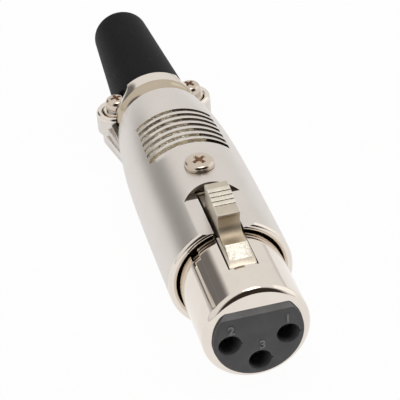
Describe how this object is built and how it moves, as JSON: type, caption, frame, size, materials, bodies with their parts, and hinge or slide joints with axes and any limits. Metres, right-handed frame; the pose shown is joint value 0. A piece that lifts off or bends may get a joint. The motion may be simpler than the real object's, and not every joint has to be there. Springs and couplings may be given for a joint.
{
  "type": "female xlr cable connector",
  "caption": "Metal cable connector with a round nose, three socket contacts, a sprung latch lever, a screwed cable clamp and a soft black boot.",
  "frame": {"origin": "centre of the insert's face, on the connector's axis, half a millimetre in front of the nose's front edge", "axes": "+Y along the axis towards the cable end, +Z towards the latch, +X to the right seen from the front"},
  "size_m": [0.0194, 0.09, 0.0222],
  "materials": {
    "satin_nickel": "satin nickel plate with a fine grain",
    "polished_nickel": "bright nickel plate",
    "lever_nickel": "satin nickel plate with bright worn edges",
    "screw_nickel": "bright nickel plate",
    "spring_steel": "bare spring steel",
    "contact_metal": "plated contact, dull",
    "grey_plastic": "moulded, fine matt grain",
    "black_vinyl": "soft vinyl, satin, dusty"
  },
  "bodies": {
    "shell": {"grip_housing": "satin_nickel", "nose_shell": "polished_nickel", "insert": "grey_plastic", "contact_retainer": "grey_plastic", "contact_1": "contact_metal", "contact_2": "contact_metal", "contact_3": "contact_metal", "ground_tab": "polished_nickel", "latch_pin": "spring_steel", "latch_spring": "spring_steel", "housing_screw": "screw_nickel", "clamp_saddle": "polished_nickel", "clamp_screw_left": "screw_nickel", "clamp_screw_right": "screw_nickel", "clamp_washer_left": "spring_steel", "clamp_washer_right": "spring_steel", "boot": "black_vinyl"},
    "latch": {"latch_lever": "lever_nickel"}
  },
  "joints": [
    {"name": "latch_pivot", "type": "hinge", "parent": "shell", "child": "latch", "pos_m": [0, 0.0265, 0.0063], "axis": [1, 0, 0], "range_deg": [0, 4.5], "stiffness_Nm_per_rad": 0.3, "springref_deg": -5.73, "deforming": ["latch_spring"]}
  ]
}
